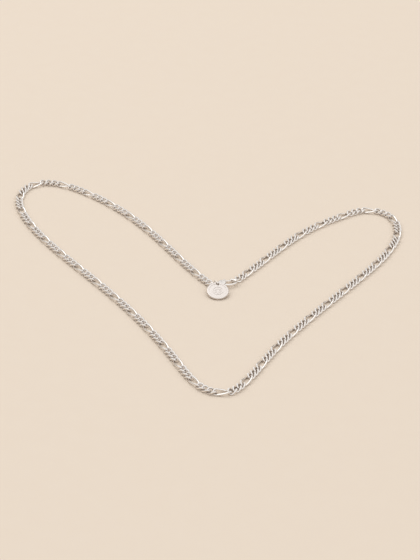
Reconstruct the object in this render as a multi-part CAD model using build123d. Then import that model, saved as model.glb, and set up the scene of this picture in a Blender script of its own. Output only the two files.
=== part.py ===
from build123d import *
import os
from math import atan2, cos, degrees, radians, sin, sqrt

# Flattened figaro neck chain: three short twisted links, then one long one, over and over.
# It lies closed on a table in a wide V. Millimetres, +Z up, X across the V, -Y towards its point.

# Chain wire and links; half lengths and half widths are measured to the middle of the wire
WIRE = 0.70
SHORT_HALF_LENGTH = 1.60
LONG_HALF_LENGTH = 3.00
LINK_HALF_WIDTH = 1.25
END_SLOPE = -45.0            # how steeply the wire climbs across a link's ends, and along its sides
SHORT_SIDE_SLOPE = -54.0
LONG_SIDE_SLOPE = -12.0
CHAIN_THICKNESS = 1.40       # over the flats cut on top and bottom
SHORT_PITCH = 2.21
LONG_PITCH = 5.00

# Repeats along the chain
SHORT_LINKS_PER_REPEAT = 3
REPEATS = 42
TAIL_LINKS = 2               # short links between the last long link and the end ring

# Clasp and its rings, in the chain's own plan before it is centred
CLOSURE = (8.93, -1.89, 1.22)        # where the clasp's hook holds the end ring
CLASP_ANGLE = 205.0                  # the clasp points from its hook back to its eye, turned from +X
EYE_DISTANCE = 7.60                  # closure to the middle of the eye
LEFT_END = (0.41, -4.25)             # where the left arm's first link meets the clasp's ring
RIGHT_END = (9.89, -0.09)            # where the right arm's last link meets the end ring

# The middle line of the chain, from its left end out to the left tip, in to the
# point of the V, out to the right tip and back to the clasp
CHAIN_COURSE = [
    LEFT_END,
    (-6.4, 4.6),
    (-18.9, 24.1),
    (-31.6, 41.5),
    (-45.9, 55.2),
    (-54.0, 60.7),
    (-62.0, 64.0),
    (-69.6, 62.9),
    (-74.6, 54.8),
    (-72.6, 40.2),
    (-61.2, 19.7),
    (-42.0, -5.1),
    (-24.2, -29.5),
    (-9.1, -56.1),
    (-4.0, -65.4),
    (1.3, -70.6),
    (7.7, -71.2),
    (12.9, -65.6),
    (22.3, -46.4),
    (38.1, -19.5),
    (55.8, 7.5),
    (67.3, 28.6),
    (70.4, 42.7),
    (66.8, 53.2),
    (59.4, 55.8),
    (51.2, 51.6),
    (36.8, 38.9),
    (24.1, 21.7),
    RIGHT_END,
]

# Clasp body, in its own plan: the closure at the origin and the eye along +X
HOOK_WIRE = 0.80
HOOK_CENTRE = (0.89, -0.15)
HOOK_RADIUS = 1.45
HOOK_TURN = (90.0, 160.0)            # from its tip, round the nose to the start of the spine
SPINE_END = (4.40, -1.10)
CLASP_THICKNESS = 1.70
CLASP_EDGE = 0.40
BARREL_RADIUS = 1.45
BARREL_X = 5.00
NECK_RADIUS = 0.85
NECK_X = 6.10
EYE_RADIUS = 0.95
EYE_WIRE = 0.50
EYE_ROLL = 75.0               # the eye stands across the flat of the clasp
SLOT_HEIGHT = 1.00
SLOT_FLOOR = -0.55
SLOT_END = 6.00

# Clasp lever, its pin and its spring
PIVOT = (5.10, 0.42)
PIN_RADIUS = 0.28
PIN_PLAY = 0.04
LEVER_THICKNESS = 0.84
LEVER_EDGE = 0.14
BOSS_RADIUS = 0.82
LEVER_TIP = (1.60, 0.42)
LEVER_TIP_RADIUS = 0.32
LEVER_BEND = (3.05, 0.76)
LEVER_BEND_RADIUS = 0.38
THUMB_ROOT = (3.65, 0.86)
THUMB_ROOT_RADIUS = 0.38
THUMB_TIP = (3.35, 1.72)
THUMB_TIP_RADIUS = 0.38
POCKET_RADIUS = 0.60
POCKET_DEPTH = 0.56
SPRING_WIRE = 0.14
SPRING_RADIUS = 0.46
SPRING_PITCH = 0.17
SPRING_TURNS = 2.5

# Jump rings: radius to the middle of the wire, and wire. The two in line with the chain lean over
# to their right and dip towards the chain; shift moves them along from midway.
END_RING = dict(radius=1.65, wire=0.42, lean=33.6, dip=10.4, height=1.22, shift=-0.12)
CLASP_RING = dict(radius=1.36, wire=0.44, lean=22.9, dip=10.2, height=0.93, shift=-0.04)
RING_SLIT = 0.05

# The tag's ring stands upright and joins the tag to the clasp's ring
TAG_RING = dict(radius=1.25, wire=0.34, centre=(2.20, -5.83, 1.99), facing=40.8)

# Round tag
TAG_RADIUS = 3.95
TAG_THICKNESS = 0.80
TAG_TILT = 15.4              # its front edge rests on the table and its back edge hangs from the ring
TAG_MIDDLE = (3.00, -9.60)
TAG_EDGE = 0.22
TAG_HOLE_RADIUS = 0.55
TAG_HOLE_DISTANCE = 3.10
TAG_HOLE_BEARING = 92.2      # from the middle of the tag to its hole, in plan
FIELD_RADIUS = 3.20
FIELD_DEPTH = 0.07
BAND_RADIUS = 1.95
BAND_WIDTH = 0.26
RAY_COUNT = 8
RAY_INNER = 0.60
RAY_OUTER = 1.45
RAY_WIDTH = 0.30


def quarter_arcs(half_length, side_slope):
    """A quarter of a link's middle line, from its +X end to its +Y side: two arcs that join smoothly."""
    end = Vector(half_length, 0, 0)
    side = Vector(0, LINK_HALF_WIDTH, 0)
    end_heading = Vector(0, cos(radians(END_SLOPE)), sin(radians(END_SLOPE)))
    side_heading = Vector(-cos(radians(side_slope)), 0, -sin(radians(side_slope)))
    chord = side - end
    headings = end_heading + side_heading
    a = 2 * (1 - end_heading.dot(side_heading))
    b = 2 * chord.dot(headings)
    reach = (sqrt(b * b + 4 * a * chord.dot(chord)) - b) / (2 * a)
    joint = (end + end_heading * reach + side - side_heading * reach) / 2
    return [TangentArc(end, joint, tangent=end_heading), TangentArc(side, joint, tangent=side_heading * -1)]


def round_wire(line, wire):
    section = Plane(origin=line @ 0, z_dir=line % 0) * Circle(wire / 2)
    return sweep(section, path=line)


def twisted_link(half_length, side_slope):
    """One closed link of round wire, its corners twisted up and down, flattened top and bottom."""
    first, second = [round_wire(arc, WIRE) for arc in quarter_arcs(half_length, side_slope)]
    quarter = first + second
    half = quarter + quarter.rotate(Axis.Y, 180)
    ring = half + half.rotate(Axis.Z, 180)
    slab = Box(2 * half_length + 2 * WIRE, 2 * LINK_HALF_WIDTH + 2 * WIRE, CHAIN_THICKNESS)
    return (ring & slab).solid()


def repeat_pitches():
    """The pitch of each link, one list for each group of links, from the left end to the right."""
    repeat = [SHORT_PITCH] * SHORT_LINKS_PER_REPEAT + [LONG_PITCH]
    return [repeat] * REPEATS + [[SHORT_PITCH] * TAIL_LINKS]


def group_junctions(course, groups):
    """For each group, the points where its links hook into each other and into the next group."""
    total = sum(sum(group) for group in groups)
    stretch = course.length / total
    travelled = 0.0
    result = []
    for group in groups:
        points = [course.position_at(travelled * stretch, position_mode=PositionMode.LENGTH)]
        for pitch in group:
            travelled += pitch
            along = min(travelled * stretch, course.length)
            points.append(course.position_at(along, position_mode=PositionMode.LENGTH))
        result.append(points)
    return result


def chain_group(junctions, pitches, short_link, long_link):
    """The separate links of one group, each laid flat from one junction to the next."""
    links = []
    for start, stop, pitch in zip(junctions, junctions[1:], pitches):
        middle = (start + stop) / 2
        heading = degrees(atan2(stop.Y - start.Y, stop.X - start.X))
        link = long_link if pitch == LONG_PITCH else short_link
        links.append(Pos(middle.X, middle.Y, CHAIN_THICKNESS / 2) * Rot(0, 0, heading) * link)
    return links


def slit_ring(radius, wire):
    """A jump ring: round wire bent into a ring, with the fine slit where its ends meet."""
    slit = Pos(0, -radius, 0) * Box(RING_SLIT, 2 * wire, 2 * wire)
    return (Torus(radius, wire / 2) - slit).solid()


def leaning_plane(held, chain_end, ring):
    """The plane of a ring between its holder and a chain end, leaning with its right side high."""
    level = Vector(chain_end[0] - held.X, chain_end[1] - held.Y, 0)
    midway = Vector(held.X, held.Y, ring["height"]) + level / 2
    level = level.normalized()
    right = Vector(level.Y, -level.X, 0)
    lean = radians(ring["lean"])
    dip = radians(ring["dip"])
    high_side = right * cos(lean) + Vector(0, 0, sin(lean))
    dipped = level * cos(dip) - Vector(0, 0, sin(dip))
    return Plane(origin=midway + level * ring["shift"], x_dir=dipped, z_dir=dipped.cross(high_side))


def clasp_frame():
    """The clasp lies on its side with its lever towards the back."""
    turn = radians(CLASP_ANGLE)
    return Plane(origin=CLOSURE, x_dir=(cos(turn), sin(turn), 0), z_dir=(0, 0, -1))


def rounded_plate(outline, thickness, edge):
    plate = extrude(outline, amount=thickness / 2, both=True)
    return fillet(plate.edges().group_by(Axis.Z)[0] + plate.edges().group_by(Axis.Z)[-1], edge)


def disc_hull(*discs):
    """The outline drawn tight round discs given as (centre, radius)."""
    rims = [Pos(*centre) * Circle(radius).edge() for centre, radius in discs]
    return make_hull(rims)


def clasp_body():
    """The hook, the slotted barrel that houses the lever, and the eye, cast in one."""
    nose = CenterArc(HOOK_CENTRE, HOOK_RADIUS, *HOOK_TURN)
    spine = TangentArc(nose @ 1, SPINE_END, tangent=nose % 1)
    hook = round_wire(nose + spine, HOOK_WIRE) + Pos(*(nose @ 0)) * Sphere(HOOK_WIRE / 2)
    barrel_outline = disc_hull(((BARREL_X, 0), BARREL_RADIUS), ((NECK_X, 0), NECK_RADIUS))
    barrel = rounded_plate(barrel_outline, CLASP_THICKNESS, CLASP_EDGE)
    slot_width = 2 * BARREL_RADIUS
    slot = Pos(SLOT_END / 2, SLOT_FLOOR + slot_width / 2) * Box(SLOT_END, slot_width, SLOT_HEIGHT)
    pin_hole = Pos(*PIVOT) * Cylinder(PIN_RADIUS, 2 * CLASP_THICKNESS)
    eye = Pos(EYE_DISTANCE, 0) * Rot(EYE_ROLL, 0, 0) * Torus(EYE_RADIUS, EYE_WIRE / 2)
    return ((barrel - slot - pin_hole) + hook + eye).solid()


def clasp_lever():
    """The gate that closes the hook, its thumb tab, and the boss that turns on the pin."""
    arm = disc_hull((LEVER_TIP, LEVER_TIP_RADIUS), (LEVER_BEND, LEVER_BEND_RADIUS))
    arm += disc_hull((LEVER_BEND, LEVER_BEND_RADIUS), (PIVOT, BOSS_RADIUS))
    arm += disc_hull((THUMB_ROOT, THUMB_ROOT_RADIUS), (THUMB_TIP, THUMB_TIP_RADIUS))
    lever = rounded_plate(arm, LEVER_THICKNESS, LEVER_EDGE)
    bore = Pos(*PIVOT) * Cylinder(PIN_RADIUS + PIN_PLAY, 2 * LEVER_THICKNESS)
    pocket_middle = (LEVER_THICKNESS - POCKET_DEPTH) / 2
    pocket = Pos(*PIVOT, pocket_middle) * Cylinder(POCKET_RADIUS, POCKET_DEPTH)
    return (lever - bore - pocket).solid()


def lever_pin():
    return (Pos(*PIVOT) * Cylinder(PIN_RADIUS, CLASP_THICKNESS)).solid()


def lever_spring():
    """The coil that closes the lever, wound round the pin in the boss's pocket."""
    coil_line = Helix(pitch=SPRING_PITCH, height=SPRING_PITCH * SPRING_TURNS, radius=SPRING_RADIUS)
    section = Plane(origin=coil_line @ 0, z_dir=coil_line % 0) * Circle(SPRING_WIRE / 2)
    coil = sweep(section, path=coil_line, is_frenet=True)
    floor = LEVER_THICKNESS / 2 - POCKET_DEPTH
    return (Pos(*PIVOT, floor + SPRING_WIRE) * coil).solid()


def tag_disc():
    """The round tag: a raised rim, a sunk field with a plain band and rays, and its ring hole."""
    blank = Cylinder(TAG_RADIUS, TAG_THICKNESS)
    blank = fillet(blank.edges(), TAG_EDGE)
    field = Cylinder(FIELD_RADIUS, FIELD_DEPTH)
    band = Cylinder(BAND_RADIUS, FIELD_DEPTH) - Cylinder(BAND_RADIUS - BAND_WIDTH, FIELD_DEPTH)
    relief = field - band
    for i in range(RAY_COUNT):
        ray = Pos((RAY_INNER + RAY_OUTER) / 2, 0) * Box(RAY_OUTER - RAY_INNER, RAY_WIDTH, FIELD_DEPTH)
        relief -= Rot(0, 0, i * 360 / RAY_COUNT) * ray
    sink = (TAG_THICKNESS - FIELD_DEPTH) / 2
    hole = Pos(TAG_HOLE_DISTANCE, 0) * Cylinder(TAG_HOLE_RADIUS, 2 * TAG_THICKNESS)
    return (blank - Pos(0, 0, sink) * relief - hole).solid()


def eye_contact():
    """Where the clasp's ring bears on the back wall of the eye."""
    reach = EYE_DISTANCE + EYE_RADIUS - EYE_WIRE / 2
    return clasp_frame().from_local_coords(Vector(reach, 0, 0))


def end_ring_plane():
    return leaning_plane(Vector(*CLOSURE), RIGHT_END, END_RING)


def clasp_ring_plane():
    return leaning_plane(eye_contact(), LEFT_END, CLASP_RING)


def tag_ring_plane():
    facing = radians(TAG_RING["facing"])
    return Plane(origin=TAG_RING["centre"], x_dir=(0, 0, 1), z_dir=(cos(facing), sin(facing), 0))


def tag_frame():
    """The tag lies tilted, from its front edge on the table up to the hole in its back edge."""
    tilt, bearing = radians(TAG_TILT), radians(TAG_HOLE_BEARING)
    lift = TAG_RADIUS * sin(tilt) + TAG_THICKNESS / 2 * cos(tilt)
    uphill = Vector(cos(bearing) * cos(tilt), sin(bearing) * cos(tilt), sin(tilt))
    across = Vector(sin(bearing), -cos(bearing), 0)
    return Plane(origin=(*TAG_MIDDLE, lift), x_dir=uphill, z_dir=across.cross(uphill))


def build():
    """Every node's solids, in place, in the chain's own plan."""
    short_link = twisted_link(SHORT_HALF_LENGTH, SHORT_SIDE_SLOPE)
    long_link = twisted_link(LONG_HALF_LENGTH, LONG_SIDE_SLOPE)
    groups = repeat_pitches()
    junctions = group_junctions(Spline(CHAIN_COURSE), groups)
    nodes = {}
    for number, (points, pitches) in enumerate(zip(junctions, groups), start=1):
        name = f"figaro_repeat_{number:02d}" if number <= REPEATS else "ring_end_links"
        nodes[name] = chain_group(points, pitches, short_link, long_link)
    nodes["end_ring"] = [end_ring_plane() * slit_ring(END_RING["radius"], END_RING["wire"])]
    nodes["clasp_ring"] = [clasp_ring_plane() * slit_ring(CLASP_RING["radius"], CLASP_RING["wire"])]
    nodes["clasp_body"] = [clasp_frame() * clasp_body()]
    nodes["clasp_lever"] = [clasp_frame() * clasp_lever()]
    nodes["lever_pin"] = [clasp_frame() * lever_pin()]
    nodes["lever_spring"] = [clasp_frame() * lever_spring()]
    nodes["tag_ring"] = [tag_ring_plane() * slit_ring(TAG_RING["radius"], TAG_RING["wire"])]
    nodes["tag_disc"] = [tag_frame() * tag_disc()]
    return nodes, junctions


def centring(nodes):
    """The shift that puts the origin under the middle of the whole necklace."""
    boxes = [solid.bounding_box() for solids in nodes.values() for solid in solids]
    middle_x = (min(box.min.X for box in boxes) + max(box.max.X for box in boxes)) / 2
    middle_y = (min(box.min.Y for box in boxes) + max(box.max.Y for box in boxes)) / 2
    return Vector(-middle_x, -middle_y, 0)


NODES, JUNCTIONS = build()
SHIFT = centring(NODES)
os.makedirs("parts", exist_ok=True)
for node, solids in NODES.items():
    placed = [Pos(*SHIFT) * solid for solid in solids]
    export_step(placed[0] if len(placed) == 1 else Compound(children=placed), f"parts/{node}.step")
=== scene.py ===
import math

import bpy
from mathutils import Matrix, Vector

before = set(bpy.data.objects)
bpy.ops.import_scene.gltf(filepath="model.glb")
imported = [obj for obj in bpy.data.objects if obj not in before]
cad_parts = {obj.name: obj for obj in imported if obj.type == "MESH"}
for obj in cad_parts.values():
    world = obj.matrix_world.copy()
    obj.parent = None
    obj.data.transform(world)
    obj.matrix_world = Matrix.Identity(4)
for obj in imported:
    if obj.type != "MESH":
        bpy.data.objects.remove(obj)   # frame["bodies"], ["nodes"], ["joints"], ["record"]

# Camera: where it aims on the table, how far off, and how it is turned (metres and degrees)
AIM = (0.00224, 0.00350, 0.0)
CAMERA_DISTANCE = 0.727
CAMERA_ELEVATION = 32.0
CAMERA_ROLL = 3.0
LENS = 128.57
SENSOR = 36.0

# Colours, in linear light
PAPER = (0.815, 0.715, 0.605, 1.0)
PAPER_FLECK = (0.805, 0.700, 0.590, 1.0)
SILVER = (0.950, 0.920, 0.890, 1.0)
SILVER_DULL = (0.840, 0.800, 0.765, 1.0)
TAG_SILVER = (0.760, 0.715, 0.680, 1.0)
TAG_SILVER_DULL = (0.660, 0.610, 0.575, 1.0)
# painted shade colour, laid into the metal's hollows near other metal
SILVER_SHADE = (0.400, 0.330, 0.290, 1.0)
STEEL = (0.560, 0.555, 0.550, 1.0)
STEEL_DULL = (0.440, 0.430, 0.415, 1.0)
SKY_HIGH = (1.0, 0.985, 0.970, 1.0)
SKY_LOW = (0.30, 0.265, 0.230, 1.0)

# Surface patterns; scales are in waves per metre, depths in metres
NOISE_LOW = 0.35             # noise below and above these counts as fully off and fully on
NOISE_HIGH = 0.65
WEAR_SCALE = 900.0
WEAR_DETAIL = 4.0
WEAR_MOST = 0.6              # how far the most worn places go towards the dull colour
SCRATCH_DETAIL = 3.0
SCRATCH_DEPTH = 0.00002
HOLLOW_REACH = 0.0007        # how far off other metal the painted shade still reaches
HOLLOW_SAMPLES = 8
FLECK_SCALE = 160.0
FLECK_DETAIL = 6.0
PAPER_SMOOTH = 0.75
PAPER_ROUGH = 0.9
PAPER_SHINE = 0.2
PAPER_GRAIN_SCALE = 1400.0
PAPER_GRAIN_DETAIL = 4.0
PAPER_GRAIN_DEPTH = 0.00004
PAPER_GRAIN_STRENGTH = 0.15

# Light
SKY_STRENGTH = 1.04
SKY_FADE_START = 0.05        # heights where the sky starts and ends its change from low to high
SKY_FADE_END = 0.75
KEY_ENERGY = 5.5
KEY_SIZE = 1.3
KEY_PLACE = (-0.70, 0.85, 1.45)
TABLE_SIZE = 6.0
TABLE_DROP = 0.00002         # the table lies just under the chain


def new_material(name):
    material = bpy.data.materials.new(name)
    material.use_nodes = True
    tree = material.node_tree
    return material, tree, tree.nodes["Principled BSDF"]


def noise(tree, scale, detail, vector):
    node = tree.nodes.new("ShaderNodeTexNoise")
    node.inputs["Scale"].default_value = scale
    node.inputs["Detail"].default_value = detail
    tree.links.new(vector, node.inputs["Vector"])
    return node.outputs["Fac"]


def spread(tree, value, low, high):
    """Maps a 0 to 1 pattern to the range low to high."""
    node = tree.nodes.new("ShaderNodeMapRange")
    node.inputs["From Min"].default_value = NOISE_LOW
    node.inputs["From Max"].default_value = NOISE_HIGH
    node.inputs["To Min"].default_value = low
    node.inputs["To Max"].default_value = high
    tree.links.new(value, node.inputs["Value"])
    return node.outputs["Result"]


def blend_colours(tree, value, first, second):
    node = tree.nodes.new("ShaderNodeMix")
    node.data_type = "RGBA"
    node.inputs["A"].default_value = first
    node.inputs["B"].default_value = second
    tree.links.new(value, node.inputs["Factor"])
    return node.outputs["Result"]


def object_position(tree):
    return tree.nodes.new("ShaderNodeTexCoord").outputs["Object"]


def add_bump(tree, shader, height, distance, strength):
    bump = tree.nodes.new("ShaderNodeBump")
    bump.inputs["Distance"].default_value = distance
    bump.inputs["Strength"].default_value = strength
    tree.links.new(height, bump.inputs["Height"])
    tree.links.new(bump.outputs["Normal"], shader.inputs["Normal"])


def paint_shade_in_hollows(tree, colour):
    """Painted shade: the colour darkens towards SILVER_SHADE where the metal is tucked close to other
    metal.
    """
    near = tree.nodes.new("ShaderNodeAmbientOcclusion")
    near.samples = HOLLOW_SAMPLES
    near.inputs["Distance"].default_value = HOLLOW_REACH
    shade = tree.nodes.new("ShaderNodeMix")
    shade.data_type = "RGBA"
    shade.inputs["A"].default_value = SILVER_SHADE
    tree.links.new(colour, shade.inputs["B"])
    tree.links.new(near.outputs["AO"], shade.inputs["Factor"])
    return shade.outputs["Result"]


def polished_metal(name, bright, dull, smooth, worn, grain, bump_strength):
    """Polished metal: cloudy wear that changes its colour and roughness, a fine grain of scratches, and
    painted shade in the hollows near other metal.
    """
    material, tree, shader = new_material(name)
    place = object_position(tree)
    wear = noise(tree, WEAR_SCALE, WEAR_DETAIL, place)
    scratches = noise(tree, grain, SCRATCH_DETAIL, place)
    colour = blend_colours(tree, spread(tree, wear, 0.0, WEAR_MOST), bright, dull)
    # painted shade: the colour is darkened where other metal is close
    tree.links.new(paint_shade_in_hollows(tree, colour), shader.inputs["Base Color"])
    tree.links.new(spread(tree, scratches, smooth, worn), shader.inputs["Roughness"])
    shader.inputs["Metallic"].default_value = 1.0
    add_bump(tree, shader, scratches, SCRATCH_DEPTH, bump_strength)
    return material


def paper_material():
    material, tree, shader = new_material("table_paper")
    place = object_position(tree)
    fleck = noise(tree, FLECK_SCALE, FLECK_DETAIL, place)
    tree.links.new(blend_colours(tree, fleck, PAPER, PAPER_FLECK), shader.inputs["Base Color"])
    tree.links.new(spread(tree, fleck, PAPER_SMOOTH, PAPER_ROUGH), shader.inputs["Roughness"])
    shader.inputs["Specular IOR Level"].default_value = PAPER_SHINE
    grain = noise(tree, PAPER_GRAIN_SCALE, PAPER_GRAIN_DETAIL, place)
    add_bump(tree, shader, grain, PAPER_GRAIN_DEPTH, PAPER_GRAIN_STRENGTH)
    return material


def give_material(node, material):
    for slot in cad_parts[node].material_slots:
        slot.material = material


def dress_nodes():
    chain = polished_metal(
        "chain_silver_look", SILVER, SILVER_DULL, smooth=0.10, worn=0.22, grain=2500.0, bump_strength=0.10)
    ring = polished_metal(
        "ring_silver_look", SILVER, SILVER_DULL, smooth=0.08, worn=0.18, grain=2500.0, bump_strength=0.08)
    clasp = polished_metal(
        "clasp_silver_look", SILVER, SILVER_DULL, smooth=0.12, worn=0.26, grain=2000.0, bump_strength=0.12)
    tag = polished_metal(
        "tag_silver_look", TAG_SILVER, TAG_SILVER_DULL,
        smooth=0.24, worn=0.34, grain=900.0, bump_strength=0.03)
    steel = polished_metal(
        "steel_look", STEEL, STEEL_DULL, smooth=0.22, worn=0.36, grain=8000.0, bump_strength=0.3)
    looks = {
        "end_ring": ring,
        "clasp_ring": ring,
        "tag_ring": ring,
        "clasp_body": clasp,
        "clasp_lever": clasp,
        "lever_pin": steel,
        "lever_spring": steel,
        "tag_disc": tag,
    }
    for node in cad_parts:
        give_material(node, looks.get(node, chain))


def add_table():
    half = TABLE_SIZE / 2
    sides = [(-half, -half), (half, -half), (half, half), (-half, half)]
    corners = [(x, y, -TABLE_DROP) for x, y in sides]
    mesh = bpy.data.meshes.new("table")
    mesh.from_pydata(corners, [], [(0, 1, 2, 3)])
    table = bpy.data.objects.new("table", mesh)
    bpy.context.scene.collection.objects.link(table)
    table.data.materials.append(paper_material())


def add_sky():
    """A pale studio: bright overhead, dimmer towards the walls."""
    world = bpy.data.worlds.new("studio")
    world.use_nodes = True
    bpy.context.scene.world = world
    tree = world.node_tree
    background = tree.nodes["Background"]
    place = tree.nodes.new("ShaderNodeTexCoord")
    split = tree.nodes.new("ShaderNodeSeparateXYZ")
    tree.links.new(place.outputs["Generated"], split.inputs["Vector"])
    height = tree.nodes.new("ShaderNodeMapRange")
    height.interpolation_type = "SMOOTHSTEP"
    height.inputs["From Min"].default_value = SKY_FADE_START
    height.inputs["From Max"].default_value = SKY_FADE_END
    tree.links.new(split.outputs["Z"], height.inputs["Value"])
    colour = blend_colours(tree, height.outputs["Result"], SKY_LOW, SKY_HIGH)
    tree.links.new(colour, background.inputs["Color"])
    background.inputs["Strength"].default_value = SKY_STRENGTH


def add_area_light(name, place, energy, size):
    data = bpy.data.lights.new(name, "AREA")
    data.shape = "DISK"
    data.size = size
    data.energy = energy
    light = bpy.data.objects.new(name, data)
    light.location = place
    towards = Vector(AIM) - Vector(place)
    light.rotation_euler = towards.to_track_quat("-Z", "Y").to_euler()
    bpy.context.scene.collection.objects.link(light)


def add_camera():
    data = bpy.data.cameras.new("camera")
    data.lens = LENS
    data.sensor_width = SENSOR
    camera = bpy.data.objects.new("camera", data)
    elevation = math.radians(CAMERA_ELEVATION)
    back = Vector((0, -math.cos(elevation), math.sin(elevation)))
    tilt = Matrix.Rotation(math.pi / 2 - elevation, 4, "X")
    roll = Matrix.Rotation(math.radians(CAMERA_ROLL), 4, "Z")
    camera.matrix_world = Matrix.Translation(Vector(AIM) + back * CAMERA_DISTANCE) @ tilt @ roll
    bpy.context.scene.collection.objects.link(camera)
    bpy.context.scene.camera = camera


def main():
    bpy.context.scene.view_settings.view_transform = "Standard"
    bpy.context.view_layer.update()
    dress_nodes()
    add_table()
    add_sky()
    add_area_light("key", KEY_PLACE, KEY_ENERGY, KEY_SIZE)
    add_camera()


main()
